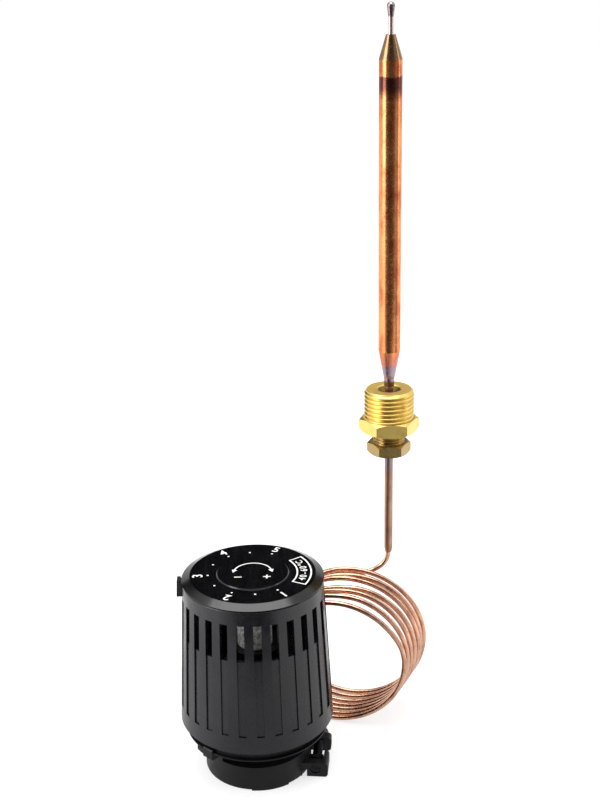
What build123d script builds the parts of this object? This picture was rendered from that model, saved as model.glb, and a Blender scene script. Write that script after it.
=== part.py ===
from build123d import *
import math
import os

# A self-acting heating actuator: setting head, coiled capillary and a sensor bulb in its gland.
# Millimetres, +Z up. The origin is on the head's axis, at the feet of its clamp collar.

# Clearances
running_fit = 0.05
slide_gap = 0.3
seat_gap = 0.1
hair_gap = 0.05

# Base: clamp collar, slit, flange and floor
collar_radius = 21.9
valve_neck_radius = 17.0
band_height = 10.8
slit_height = 7.0
slit_start_deg = 230.0
slit_end_deg = 404.0
foot_height = 0.6
foot_start_deg = 263.6
foot_span_deg = 41.0
foot_count = 3
flange_radius = 29.0
flange_thickness = 1.6
flange_lip = 0.6
flange_thick_radius = 26.0
floor_thickness = 4.0
skirt_radius = 27.6
skirt_wall = 1.6
skirt_height = 9.0
pin_guide_radius = 4.2
pin_guide_height = 3.0

# Range limiter in the flange
limiter_azimuth_deg = 228.5
limiter_width = 5.0
limiter_depth = 3.8
limiter_height = 4.6
limiter_drop = 3.6
limiter_tail_deg = 16.0
limiter_tail_height = 1.9
limiter_tail_radius = 28.4

# Clamp lugs and screw, in a frame turned to the clamp's azimuth
clamp_azimuth_deg = -6.0
band_split = 3.0
lug_thickness = 4.0
lug_inner_distance = 7.0
wing_gap = 0.1
lug_low = 0.2
lug_height = 6.2
lug_corner = 1.4
lug_notch_width = 2.0
lug_notch_height = 3.4
wing_thickness = 2.0
wing_length = 5.5
clamp_screw_radius = 2.0
clamp_screw_distance = 2.7
clamp_head_radius = 3.5
clamp_head_height = 4.0
clamp_socket_flats = 3.0
clamp_nut_width = 6.0
clamp_nut_thickness = 2.2

# Guide column inside the head
column_radius = 11.0
column_bore = 8.4
column_mouth_radius = 9.0
column_slot_width = 4.0
ring_groove_depth = 0.6
ring_thickness = 1.0
ring_radius = 12.6

# Handle
handle_lift = 4.0
handle_height = 61.2
handle_bottom_radius = 31.2
handle_top_radius = 28.1
handle_wall = 2.2
handle_edge = 0.4
slot_count = 27
slot_width = 3.2
slot_phase_deg = 7.75
top_band = 5.8
window_height = 15.4
flute_height = 32.4
flute_width = 3.0
flute_depth = 0.6
web_height = 17.0
web_thickness = 2.5
hub_wall = 2.0
hub_length = 26.7

# Index tab
tab_slot = 13
tab_width = 4.0
tab_thickness = 1.95
tab_leg = 7.0
tab_strap = 0.7
tab_lip_thickness = 1.1
tab_lip_height = 2.4

# Dial cap
cap_gap = 0.4
cap_overhang = 0.2
cap_rise = 1.8
cap_lip = 0.2
bevel_width = 3.3
cap_plate = 2.4
cap_skirt_radius = 24.3
cap_skirt_wall = 1.5
cap_skirt_height = 4.0
cap_socket_wall = 1.95
cap_socket_depth = 8.4
centre_disc_radius = 14.45
centre_disc_thickness = 1.2
centre_disc_recess = 0.8
centre_disc_edge = 0.4

# Bellows element
can_radius = 7.0
can_wall = 0.6
can_length = 31.6
can_seen_start = 3.2
element_base_thickness = 2.0
element_spigot = 0.8
bellows_radius = 5.6
bellows_root = 4.0
bellows_wall = 0.5
bellows_folds = 6
bellows_length = 17.0
bellows_plate = 1.0

# Pin, setting spring and setting nut
pin_radius = 2.0
pin_tip_recess = 0.2
pin_tip_chamfer = 0.5
pin_top_gap = 0.6
clip_thickness = 0.6
clip_radius = 3.6
clip_groove_depth = 0.5
spring_seat_radius = 5.8
spring_seat_thickness = 1.6
spring_wire = 1.5
spring_radius = 4.4
spring_turns = 5
nut_lift = 7.0
nut_thickness = 4.0
nut_travel = 2.0
nut_radius = 5.8
nut_bore = 3.0
nut_key_reach = 13.0
nut_key_gap = 0.3

# Capillary: coil standing on edge behind the head, in a frame turned by the coil's yaw
capillary_radius = 1.1
coil_yaw_deg = -12.3
coil_radius = 31.0
coil_play = 0.2
coil_near_x = 25.4
coil_near_y = 33.0
coil_far_x = 30.85
coil_far_y = 55.65
outlet_drop = 2.0
inner_run_y = 7.0
inner_bend = 3.0
bush_radius = 1.9
bush_start = 18.5
bush_end = 25.0
bush_nose = 0.5
bush_notch = 4.6

# Sensor, sleeve and gland, on one upright axis
sensor_x = 57.2
sensor_y = 48.8
sleeve_low = 70.5
sleeve_radius = 1.8
sleeve_taper_radius = 1.35
sleeve_taper = 2.0
sleeve_top = 158.0
gland_nut_low = 117.4
gland_nut_height = 4.9
gland_nut_flats = 16.0
gland_gap = 5.1
gland_shank_radius = 6.58
gland_shank_length = 9.2
gland_hex_flats = 22.0
gland_hex_height = 5.8
gland_hex_yaw_deg = 2.2
gland_thread_radius = 10.4775
gland_thread_length = 12.5
gland_thread_chamfer = 1.2
gland_hex_chamfer_deg = 30.0
gland_mouth_radius = 5.2
gland_throat_radius = 2.6
gland_mouth_depth = 2.6
packing_washer_thickness = 1.0
packing_thickness = 4.0
sensor_radius = 4.6
sensor_wall = 0.8
sensor_low = 147.0
sensor_neck = 3.5
sensor_neck_radius = 2.3
sensor_lower_cone = 11.9
sensor_body = 116.1
sensor_upper_cone = 9.2
sensor_tip_radius = 1.85
filling_radius = 1.05
filling_length = 6.4
filling_in_cone = 3.0
bead_radius = 1.55
bead_height = 5.4

# Heights worked out from the sizes above
flange_low = band_height + slit_height
base_top = flange_low + flange_thickness
floor_low = base_top - floor_thickness
pin_tip_height = floor_low + pin_tip_recess
clamp_screw_reach = collar_radius + clamp_screw_distance
lug_reach = clamp_screw_reach + clamp_nut_width / 2 + wing_gap + wing_thickness
handle_low = base_top + handle_lift
handle_high = handle_low + handle_height
window_high = handle_high - top_band
window_low = window_high - window_height
flute_low = window_low - flute_height
cap_radius = handle_top_radius + cap_overhang
cap_low = handle_high + cap_gap
cap_top = cap_low + cap_rise
can_high = cap_top - cap_plate
can_low = can_high - can_length
column_top = can_low + can_seen_start
ledge_height = can_low - element_base_thickness
clip_high = ledge_height - pin_top_gap
clip_low = clip_high - clip_thickness
spring_seat_low = clip_low - spring_seat_thickness
nut_low = base_top + nut_lift
nut_high = nut_low + nut_thickness
web_low = base_top + web_height
hub_low = base_top + slide_gap
hub_high = hub_low + hub_length
ring_low = hub_high + slide_gap
bellows_low = can_low + element_spigot
bellows_high = bellows_low + bellows_length
coil_height = coil_radius + capillary_radius + coil_play
outlet_height = base_top - outlet_drop
outlet_x = coil_near_x - math.sqrt(coil_radius**2 - (coil_height - outlet_height) ** 2)
coil_face_y = coil_near_y - capillary_radius
gland_nut_high = gland_nut_low + gland_nut_height
gland_low = gland_nut_high + gland_gap
gland_hex_high = gland_low + gland_hex_height
gland_high = gland_hex_high + gland_thread_length
gland_shank_high = gland_nut_high + gland_shank_length
packing_low = gland_shank_high + seat_gap + packing_washer_thickness
packing_high = packing_low + packing_thickness
sensor_body_low = sensor_low + sensor_neck + sensor_lower_cone
sensor_body_high = sensor_body_low + sensor_body
sensor_high = sensor_body_high + sensor_upper_cone
sensor_bore = sleeve_radius + hair_gap
filling_high = sensor_high + filling_length


def ring(outer, inner, low, high):
    """A plain tube about Z between two heights."""
    return Pos(0, 0, low) * extrude(Circle(outer) - Circle(inner), high - low)


def disc(radius, low, high):
    """A plain disc about Z between two heights."""
    return Pos(0, 0, low) * extrude(Circle(radius), high - low)


def turned(points):
    """A solid of revolution about Z from (radius, height) points."""
    outline = Polyline([(radius, 0, height) for radius, height in points], close=True)
    return revolve(make_face(outline), Axis.Z)


def sector(inner, outer, low, high, start_deg, end_deg):
    """A block of ring between two azimuths."""
    outline = Polyline([(inner, 0, low), (outer, 0, low), (outer, 0, high), (inner, 0, high)], close=True)
    return Rot(0, 0, start_deg) * revolve(make_face(outline), Axis.Z, end_deg - start_deg)


def block(low, high):
    """A box from its lowest to its highest corner."""
    size = [top - bottom for bottom, top in zip(low, high)]
    centre = [(top + bottom) / 2 for bottom, top in zip(low, high)]
    return Pos(*centre) * Box(*size)


def side_plate(width, points):
    """Plate centred on the XZ plane, from the outline of its side."""
    outline = make_face(Polyline(*[(x, 0, z) for x, z in points], close=True))
    return extrude(outline, width / 2, both=True)


def rod_along_y(radius, x, z, start, end):
    """A cylinder along Y."""
    return Pos(x, (start + end) / 2, z) * Rot(90, 0, 0) * Cylinder(radius, abs(end - start))


def bent_tube(points, bends, radius):
    """A round bar along straight runs joined by tangent arcs."""
    path = FilletPolyline(points, radius=bends)
    start = Plane(origin=path @ 0, z_dir=path % 0)
    return sweep(start * Circle(radius), path=path)


def at_sensor(shape):
    """Places a shape, made on the Z axis, on the sensor's upright axis."""
    return Pos(sensor_x, sensor_y, 0) * shape


def in_clamp_frame(shape):
    """Places a shape whose X axis points out through the clamp."""
    return Rot(0, 0, clamp_azimuth_deg) * shape


def in_coil_frame(shape):
    """Places a shape whose Y axis is the direction of the coil's axis."""
    return Rot(0, 0, coil_yaw_deg) * shape


def handle_radius(height):
    """Outer radius of the conical handle at a height."""
    share = (height - handle_low) / handle_height
    return handle_bottom_radius + share * (handle_top_radius - handle_bottom_radius)


def inner_capillary_path():
    """Corners of the capillary's stretch inside the base, and its one bend."""
    points = [
        (outlet_x, inner_run_y, can_low - element_base_thickness / 2),
        (outlet_x, inner_run_y, outlet_height),
        (outlet_x, bush_end, outlet_height),
    ]
    return points, [inner_bend]


def lug(side, inner_face):
    """One clamp lug, with a notch that frees it from the band's lower part."""
    outer_face = inner_face + side * lug_thickness
    low_y, high_y = sorted((inner_face, outer_face))
    plate = block((valve_neck_radius + 1, low_y, lug_low), (lug_reach, high_y, lug_low + lug_height))
    corners = plate.edges().filter_by(Axis.Y).group_by(Axis.X)[-1]
    plate = fillet(corners, lug_corner)
    notch_start = math.sqrt(collar_radius**2 - outer_face**2) + 0.2
    notch_end = notch_start + lug_notch_width
    notch = block((notch_start, low_y - 1, -1), (notch_end, high_y + 1, lug_low + lug_notch_height))
    return plate - notch


def clamp_lugs():
    """Both lugs, with the wing beside the nut and the hole for the screw."""
    near_face = -lug_inner_distance
    far_face = lug_inner_distance
    wing = block(
        (lug_reach - wing_thickness, near_face - 1, lug_low),
        (lug_reach, near_face + wing_length, lug_low + lug_height),
    )
    wing_corners = wing.edges().filter_by(Axis.Y).group_by(Axis.X)[-1]
    wing = fillet(wing_corners, lug_corner)
    hole_length = lug_inner_distance + lug_thickness + 1
    hole = rod_along_y(
        clamp_screw_radius + seat_gap, clamp_screw_reach, screw_height(), -hole_length, hole_length
    )
    return lug(-1, near_face) + lug(1, far_face) + wing - hole


def screw_height():
    """Height of the clamp screw's axis."""
    return lug_low + lug_height / 2 + 0.4


def collar():
    """Split collar with its slit, feet and lugs."""
    body = ring(collar_radius, valve_neck_radius, foot_height, flange_low + hair_gap)
    body -= sector(valve_neck_radius - 1, collar_radius + 1, band_height, flange_low, slit_start_deg, slit_end_deg)
    for number in range(foot_count):
        start = foot_start_deg + number * 360 / foot_count
        body += sector(valve_neck_radius, collar_radius, 0, foot_height, start, start + foot_span_deg)
    body += in_clamp_frame(clamp_lugs())
    body -= disc(valve_neck_radius, -1, floor_low)
    split = block((0, -band_split / 2, -1), (collar_radius + 1, band_split / 2, band_height + hair_gap))
    return body - in_clamp_frame(split)


def guide_column():
    """Slotted column that carries the handle and the bellows element."""
    column = turned([
        (column_bore, base_top - hair_gap),
        (column_radius, base_top - hair_gap),
        (column_radius, ring_low),
        (column_radius - ring_groove_depth, ring_low),
        (column_radius - ring_groove_depth, ring_low + ring_thickness),
        (column_radius, ring_low + ring_thickness),
        (column_radius, column_top),
        (column_mouth_radius, column_top),
        (column_mouth_radius, ledge_height),
        (column_bore, ledge_height),
    ])
    slot_low = nut_low - nut_travel - 1
    slot_high = nut_high + nut_travel + 1
    half = column_slot_width / 2
    slot = block((-column_radius - 1, -half, slot_low), (column_radius + 1, half, slot_high))
    return column - in_coil_frame(slot)


def base_frame():
    """One moulding: collar, flange, floor, skirt and guide column."""
    flange = turned([
        (0, floor_low),
        (valve_neck_radius + hair_gap, floor_low),
        (valve_neck_radius + hair_gap, flange_low),
        (flange_thick_radius, flange_low),
        (flange_radius - 1, base_top - flange_lip),
        (flange_radius, base_top - flange_lip),
        (flange_radius, base_top),
        (0, base_top),
    ])
    frame = flange + collar()
    frame += ring(skirt_radius, skirt_radius - skirt_wall, base_top - hair_gap, base_top + skirt_height)
    frame += disc(pin_guide_radius, base_top - hair_gap, base_top + pin_guide_height)
    frame += guide_column()
    frame -= disc(pin_radius + running_fit, floor_low - 1, base_top + pin_guide_height + 1)
    half = limiter_width / 2 + seat_gap
    notch = block(
        (limiter_seat() - seat_gap, -half, floor_low),
        (flange_radius + 2, half, base_top + limiter_height),
    )
    frame -= Rot(0, 0, limiter_azimuth_deg) * notch
    points, bends = inner_capillary_path()
    channel = bent_tube(points, bends, capillary_radius + seat_gap)
    bush_hole = rod_along_y(
        bush_radius + hair_gap, outlet_x, outlet_height, bush_start - hair_gap, collar_radius + 1
    )
    outlet_notch = block(
        (outlet_x - bush_notch / 2, collar_radius - 0.4, floor_low),
        (outlet_x + bush_notch / 2, flange_radius + 1, base_top + 0.4),
    )
    return frame - in_coil_frame(channel + bush_hole + outlet_notch)


def limiter_seat():
    """Radius of the limiter's inner face."""
    return flange_radius + 0.5 - limiter_depth


def range_limiter():
    """Clip that grips the flange's rim, with a curved tail under the flange."""
    low = base_top - limiter_drop
    outer = flange_radius + 0.5
    body = block(
        (limiter_seat(), -limiter_width / 2, low),
        (outer, limiter_width / 2, low + limiter_height),
    )
    body = chamfer(body.edges().filter_by(Axis.Y).group_by(Axis.X)[-1], 0.5)
    tail_high = low + limiter_tail_height
    tail = sector(collar_radius + slide_gap, limiter_tail_radius, low, tail_high, -limiter_tail_deg, 0)
    return Rot(0, 0, limiter_azimuth_deg) * (body + tail)


def clamp_screw():
    """Socket-head screw through both lugs."""
    far_face = lug_inner_distance + lug_thickness
    shank = rod_along_y(clamp_screw_radius, clamp_screw_reach, screw_height(), -far_face + 0.4, far_face)
    head = rod_along_y(
        clamp_head_radius, clamp_screw_reach, screw_height(), far_face, far_face + clamp_head_height
    )
    head = chamfer(head.edges().sort_by(Axis.Y)[-1], 0.4)
    socket = extrude(RegularPolygon(clamp_socket_flats / 2, 6, major_radius=False), clamp_head_height / 2)
    socket = Pos(clamp_screw_reach, far_face + clamp_head_height, screw_height()) * Rot(90, 0, 0) * socket
    return in_clamp_frame(shank + head - socket)


def clamp_nut():
    """Square nut held between the near lug and its wing."""
    half = clamp_nut_width / 2
    low_y = -lug_inner_distance
    nut = block(
        (clamp_screw_reach - half, low_y, screw_height() - half),
        (clamp_screw_reach + half, low_y + clamp_nut_thickness, screw_height() + half),
    )
    bore = rod_along_y(
        clamp_screw_radius + running_fit, clamp_screw_reach, screw_height(), low_y - 1, 0
    )
    return in_clamp_frame(nut - bore)


def handle():
    """Conical slotted shell with an inner web and a hub that turns on the column."""
    edge = handle_edge
    hub_relief = nut_key_reach + slide_gap + seat_gap
    hub_radius = hub_relief + hub_wall
    bearing = column_radius + running_fit
    upper_hub = bearing + hub_wall
    web_high = web_low + web_thickness
    body = turned([
        (handle_bottom_radius - handle_wall, handle_low),
        (handle_bottom_radius - edge, handle_low),
        (handle_radius(handle_low + edge), handle_low + edge),
        (handle_radius(handle_high - edge), handle_high - edge),
        (handle_top_radius - edge, handle_high),
        (handle_top_radius - handle_wall, handle_high),
        (handle_radius(web_high) - handle_wall, web_high),
        (upper_hub, web_high),
        (upper_hub, hub_high),
        (bearing, hub_high),
        (bearing, web_low),
        (hub_relief, web_low),
        (hub_relief, hub_low),
        (hub_radius, hub_low),
        (hub_radius, web_low),
        (handle_radius(web_low) - handle_wall, web_low),
    ])
    window = block(
        (handle_top_radius - handle_wall - 2, -slot_width / 2, window_low),
        (handle_bottom_radius + 2, slot_width / 2, window_high),
    )
    turns = [Rot(0, 0, slot_phase_deg + number * 360 / slot_count) for number in range(slot_count)]
    body -= [turn * flute() for turn in turns]
    return body - [turn * window for turn in turns]


def flute():
    """Cutter for one shallow flute, parallel to the cone's side, at azimuth zero."""
    lean = math.degrees(math.atan((handle_bottom_radius - handle_top_radius) / handle_height))
    cutter = block((-flute_depth, -flute_width / 2, 0), (2, flute_width / 2, window_low - flute_low + 1))
    return Pos(handle_radius(flute_low), 0, flute_low) * Rot(0, -lean, 0) * cutter


def index_tab():
    """Clip on the handle's rim: a leg outside, a strap through a window and a lip behind the wall."""
    azimuth = slot_phase_deg + tab_slot * 360 / slot_count
    high = cap_low + cap_lip
    low = high - tab_leg
    beside_cap = cap_radius + slide_gap
    leg = side_plate(tab_width, [
        (handle_radius(low) + hair_gap, low),
        (handle_radius(handle_high) + hair_gap, handle_high),
        (beside_cap, handle_high),
        (beside_cap, high),
        (handle_radius(high) + tab_thickness, high),
        (handle_radius(low) + tab_thickness, low),
    ])
    strap_high = window_high - hair_gap
    strap_low = strap_high - tab_strap
    inner_wall = handle_radius(window_high) - handle_wall
    lip_out = inner_wall - slide_gap
    clip = side_plate(slot_width - 2 * seat_gap, [
        (lip_out - tab_lip_thickness, strap_low),
        (handle_radius(low) + tab_thickness / 2, strap_low),
        (handle_radius(low) + tab_thickness / 2, strap_high),
        (lip_out, strap_high),
        (lip_out, strap_high + tab_lip_height),
        (lip_out - tab_lip_thickness, strap_high + tab_lip_height),
    ])
    return Rot(0, 0, azimuth) * (leg + clip)


def dial_cap():
    """Fixed cap with a bevel, a recess for the centre disc and a socket for the can."""
    socket = can_radius + running_fit
    socket_out = socket + cap_socket_wall
    skirt_in = cap_skirt_radius - cap_skirt_wall
    return turned([
        (0, can_high),
        (socket, can_high),
        (socket, can_high - cap_socket_depth),
        (socket_out, can_high - cap_socket_depth),
        (socket_out, can_high),
        (skirt_in, can_high),
        (skirt_in, cap_low - cap_skirt_height),
        (cap_skirt_radius, cap_low - cap_skirt_height),
        (cap_skirt_radius, cap_low),
        (cap_radius, cap_low),
        (cap_radius, cap_low + cap_lip),
        (cap_radius - bevel_width, cap_top),
        (centre_disc_radius + hair_gap, cap_top),
        (centre_disc_radius + hair_gap, cap_top - centre_disc_recess),
        (0, cap_top - centre_disc_recess),
    ])


def centre_disc():
    """Slightly raised disc with a broken edge."""
    low = cap_top - centre_disc_recess
    plate = disc(centre_disc_radius, low, low + centre_disc_thickness)
    return chamfer(plate.edges().group_by(Axis.Z)[-1], centre_disc_edge)


def bellows_can():
    """Drawn aluminium can, closed at the top."""
    can = disc(can_radius, can_low, can_high)
    can = chamfer(can.edges().group_by(Axis.Z)[-1], can_wall)
    return can - disc(can_radius - can_wall, can_low - 1, can_high - can_wall)


def can_base():
    """Brass disc under the can, with a spigot, the pin's bore and the capillary's seat."""
    spigot = can_radius - can_wall - hair_gap
    base = turned([
        (pin_radius + running_fit, ledge_height),
        (column_mouth_radius - seat_gap, ledge_height),
        (column_mouth_radius - seat_gap, can_low),
        (spigot, can_low),
        (spigot, bellows_low),
        (pin_radius + running_fit, bellows_low),
    ])
    seat = Pos(outlet_x, inner_run_y, ledge_height) * Cylinder(
        capillary_radius + hair_gap, element_base_thickness
    )
    return base - in_coil_frame(seat)


def can_lock_ring():
    """Ring that holds the can's base down in the column's mouth."""
    return ring(column_mouth_radius - seat_gap, can_radius + seat_gap, can_low, column_top)


def bellows():
    """Folded brass bellows, closed by a plate that stands on the pin."""
    pitch = bellows_length / bellows_folds
    outer = []
    inner = []
    for fold in range(bellows_folds):
        height = bellows_low + fold * pitch
        outer += [(bellows_root + bellows_wall, height), (bellows_radius, height + pitch / 2)]
        inner += [(bellows_root, height), (bellows_radius - bellows_wall, height + pitch / 2)]
    outer.append((bellows_root + bellows_wall, bellows_high))
    inner.append((bellows_root, bellows_high))
    top = [
        (bellows_root + bellows_wall, bellows_high + bellows_plate),
        (0, bellows_high + bellows_plate),
        (0, bellows_high),
    ]
    return turned(outer + top + inner[::-1])


def pressure_pin():
    """Pin from the bellows' plate down to the valve stem, with a groove for the clip."""
    groove = pin_radius - clip_groove_depth
    return turned([
        (0, pin_tip_height),
        (pin_radius - pin_tip_chamfer, pin_tip_height),
        (pin_radius, pin_tip_height + pin_tip_chamfer),
        (pin_radius, clip_low),
        (groove, clip_low),
        (groove, clip_high),
        (pin_radius, clip_high),
        (pin_radius, bellows_high),
        (0, bellows_high),
    ])


def seat_clip():
    """Open clip in the pin's groove, above the spring seat."""
    clip = ring(clip_radius, pin_radius - clip_groove_depth + hair_gap, clip_low, clip_high)
    mouth = pin_radius - clip_groove_depth
    return clip - block((0, -mouth, clip_low - 1), (clip_radius + 1, mouth, clip_high + 1))


def spring_seat():
    """Dished washer on the pin, where the setting spring pushes."""
    spigot = spring_radius - spring_wire / 2 - slide_gap
    return turned([
        (pin_radius + hair_gap, spring_seat_low - 1),
        (spigot, spring_seat_low - 1),
        (spigot, spring_seat_low),
        (spring_seat_radius, spring_seat_low),
        (spring_seat_radius, clip_low),
        (pin_radius + hair_gap, clip_low),
    ])


def setting_spring():
    """Compression spring between the setting nut and the spring seat."""
    low = nut_high + spring_wire / 2 + hair_gap
    length = spring_seat_low - spring_wire / 2 - hair_gap - low
    path = Pos(0, 0, low) * Helix(length / spring_turns, length, spring_radius)
    start = Plane(origin=path @ 0, z_dir=path % 0)
    return sweep(start * RegularPolygon(spring_wire / 2, 8), path=path)


def setting_nut():
    """Nut with two keys that pass through the column's slots to the handle's thread."""
    key_half = column_slot_width / 2 - nut_key_gap
    body = disc(nut_radius, nut_low, nut_high)
    keys = block((-nut_key_reach, -key_half, nut_low), (nut_key_reach, key_half, nut_high))
    keys &= disc(nut_key_reach, nut_low, nut_high)
    return in_coil_frame(body + keys) - disc(nut_bore, nut_low - 1, nut_high + 1)


def retaining_ring():
    """Snap ring in the column's groove, above the handle's hub."""
    inner = column_radius - ring_groove_depth + hair_gap
    low = ring_low + hair_gap
    high = ring_low + ring_thickness - hair_gap
    clip = ring(ring_radius, inner, low, high)
    mouth = column_slot_width
    return clip - in_coil_frame(block((0, -mouth, low - 1), (ring_radius + 1, mouth, high + 1)))


def inner_capillary():
    """Capillary from the can's base down the column and out through the floor."""
    points, bends = inner_capillary_path()
    return in_coil_frame(bent_tube(points, bends, capillary_radius))


def capillary_bush():
    """Bush in the collar's wall, round the capillary."""
    bush = rod_along_y(bush_radius, outlet_x, outlet_height, bush_start, bush_end)
    bush = chamfer(bush.edges().sort_by(Axis.Y)[-1], bush_nose)
    bore = rod_along_y(
        capillary_radius + hair_gap, outlet_x, outlet_height, bush_start - 1, bush_end + 1
    )
    return in_coil_frame(bush - bore)


def capillary_lead_out():
    """Short straight stretch from the bush to the coil's near face."""
    return in_coil_frame(rod_along_y(capillary_radius, outlet_x, outlet_height, bush_end, coil_face_y))


def capillary_coil():
    """Outer shape of the coil: a slightly skewed drum that stands on its rim."""
    half = capillary_radius + coil_play
    near = Plane(
        origin=(coil_near_x, coil_face_y, coil_height), x_dir=(1, 0, 0), z_dir=(0, 1, 0)
    )
    depth = coil_far_y + capillary_radius - coil_face_y
    slant = (coil_far_x - coil_near_x) / (coil_far_y - coil_near_y)
    rim = near * (Circle(coil_radius + half) - Circle(coil_radius - half))
    length = depth * math.sqrt(1 + slant**2)
    return in_coil_frame(extrude(rim, length, dir=(slant, 1, 0)))


def lead_in_points():
    """Corners of the stretch from the sleeve down to the top of the coil."""
    return [
        (sensor_x, sensor_y, sleeve_low + sleeve_taper),
        (sensor_x, sensor_y, 68.3),
        (54.9, 48.6, 64.7),
        (51.2, 48.2, 62.9),
        (47.1, 47.6, 63.3),
    ]


def tangent_radii(points):
    """Bend radii: each arc as large as its two runs allow."""
    radii = []
    for before, corner, after in zip(points, points[1:], points[2:]):
        first = Vector(*corner) - Vector(*before)
        second = Vector(*after) - Vector(*corner)
        half_turn = math.radians(first.get_angle(second)) / 2
        radii.append(0.45 * min(first.length, second.length) / math.tan(half_turn))
    return radii


def capillary_lead_in():
    """Curved stretch from the coil up into the sleeve."""
    points = lead_in_points()
    radii = tangent_radii(points)
    print("lead-in radii:", [round(radius, 2) for radius in radii])
    return bent_tube(points, radii, capillary_radius)


def sleeve_tube():
    """Stiff tube round the capillary, from above the coil up into the sensor."""
    sleeve = turned([
        (sleeve_taper_radius, sleeve_low),
        (sleeve_radius, sleeve_low + sleeve_taper),
        (sleeve_radius, sleeve_top),
        (capillary_radius + hair_gap, sleeve_top),
        (capillary_radius + hair_gap, sleeve_low),
    ])
    return at_sensor(sleeve)


def chamfered_hexagon(flats, low, high):
    """A hexagon whose corners are turned off at both ends."""
    prism = Pos(0, 0, low) * extrude(RegularPolygon(flats / 2, 6, major_radius=False), high - low)
    flat_radius = flats / 2
    reach = flats
    drop = (reach - flat_radius) * math.tan(math.radians(gland_hex_chamfer_deg))
    cone = turned([
        (0, low),
        (flat_radius, low),
        (reach, low + drop),
        (reach, high - drop),
        (flat_radius, high),
        (0, high),
    ]) if high - low > 2 * drop else turned([
        (0, low),
        (flat_radius, low),
        (flat_radius + (high - low) / 2 / math.tan(math.radians(gland_hex_chamfer_deg)), (low + high) / 2),
        (flat_radius, high),
        (0, high),
    ])
    return prism & cone


def gland_nut():
    """Packing screw: hexagon head, threaded shank and a bore for the sleeve."""
    head = chamfered_hexagon(gland_nut_flats, gland_nut_low, gland_nut_high)
    shank = disc(gland_shank_radius, gland_nut_high - hair_gap, gland_shank_high)
    shank = chamfer(shank.edges().group_by(Axis.Z)[-1], 0.8)
    bore = disc(sleeve_radius + running_fit, gland_nut_low - 1, gland_shank_high + 1)
    return at_sensor(head + shank - bore)


def gland_body():
    """Hexagon body with the pipe thread above and the packing chamber inside."""
    hexagon = Rot(0, 0, gland_hex_yaw_deg) * chamfered_hexagon(gland_hex_flats, gland_low, gland_hex_high)
    thread = disc(gland_thread_radius, gland_hex_high - hair_gap, gland_high)
    thread = chamfer(thread.edges().group_by(Axis.Z)[-1], gland_thread_chamfer)
    chamber = disc(gland_shank_radius + running_fit, gland_low - 1, packing_high + seat_gap)
    throat = turned([
        (0, packing_high),
        (gland_throat_radius, packing_high),
        (gland_throat_radius, gland_high - gland_mouth_depth),
        (gland_mouth_radius, gland_high),
        (gland_mouth_radius, gland_high + 1),
        (0, gland_high + 1),
    ])
    return at_sensor(hexagon + thread - chamber - throat)


def packing_washer():
    """Brass washer between the packing screw and the packing."""
    low = gland_shank_high + seat_gap
    return at_sensor(ring(
        gland_shank_radius - seat_gap, sleeve_radius + running_fit, low, low + packing_washer_thickness
    ))


def packing_ring():
    """Soft ring that seals on the sleeve."""
    return at_sensor(ring(
        gland_shank_radius - seat_gap, sleeve_radius + running_fit, packing_low, packing_high
    ))


def sensor_bulb():
    """Copper tube, swaged to a cone at both ends."""
    tip_bore = filling_radius + hair_gap
    body = turned([
        (sensor_bore, sensor_low),
        (sensor_bore + 0.25, sensor_low),
        (sensor_neck_radius, sensor_low + sensor_neck),
        (sensor_radius, sensor_body_low),
        (sensor_radius, sensor_body_high),
        (sensor_tip_radius, sensor_high),
        (tip_bore, sensor_high),
        (tip_bore, sensor_high - filling_in_cone),
        (sensor_radius - sensor_wall, sensor_body_high - 0.5),
        (sensor_radius - sensor_wall, sensor_body_low + 0.5),
        (sensor_bore, sensor_low + sensor_neck + 1),
    ])
    return at_sensor(body)


def filling_tube():
    """Thin tube on the bulb's tip."""
    tube = disc(filling_radius, sensor_high - filling_in_cone, filling_high)
    return at_sensor(tube)


def seal_bead():
    """Solder bead that closes the filling tube: a cone under a round head."""
    head_centre = filling_high + bead_height - bead_radius
    cone = Pos(0, 0, (filling_high + head_centre) / 2) * Cone(
        filling_radius, bead_radius, head_centre - filling_high
    )
    return at_sensor(cone + Pos(0, 0, head_centre) * Sphere(bead_radius))


def write_parts():
    """Writes one file for each piece."""
    makers = [
        base_frame, range_limiter, clamp_screw, clamp_nut, retaining_ring, handle, index_tab,
        dial_cap, centre_disc, bellows_can, can_base, can_lock_ring, bellows, pressure_pin,
        seat_clip, spring_seat, setting_spring, setting_nut, inner_capillary, capillary_bush,
        capillary_lead_out, capillary_coil, capillary_lead_in, sleeve_tube, gland_nut, gland_body,
        packing_washer, packing_ring, sensor_bulb, filling_tube, seal_bead,
    ]
    os.makedirs("parts", exist_ok=True)
    for maker in makers:
        shape = maker()
        shape.label = maker.__name__
        export_step(shape, f"parts/{maker.__name__}.step")


write_parts()
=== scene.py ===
import math

import bmesh
import bpy
from mathutils import Matrix, Vector


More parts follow.
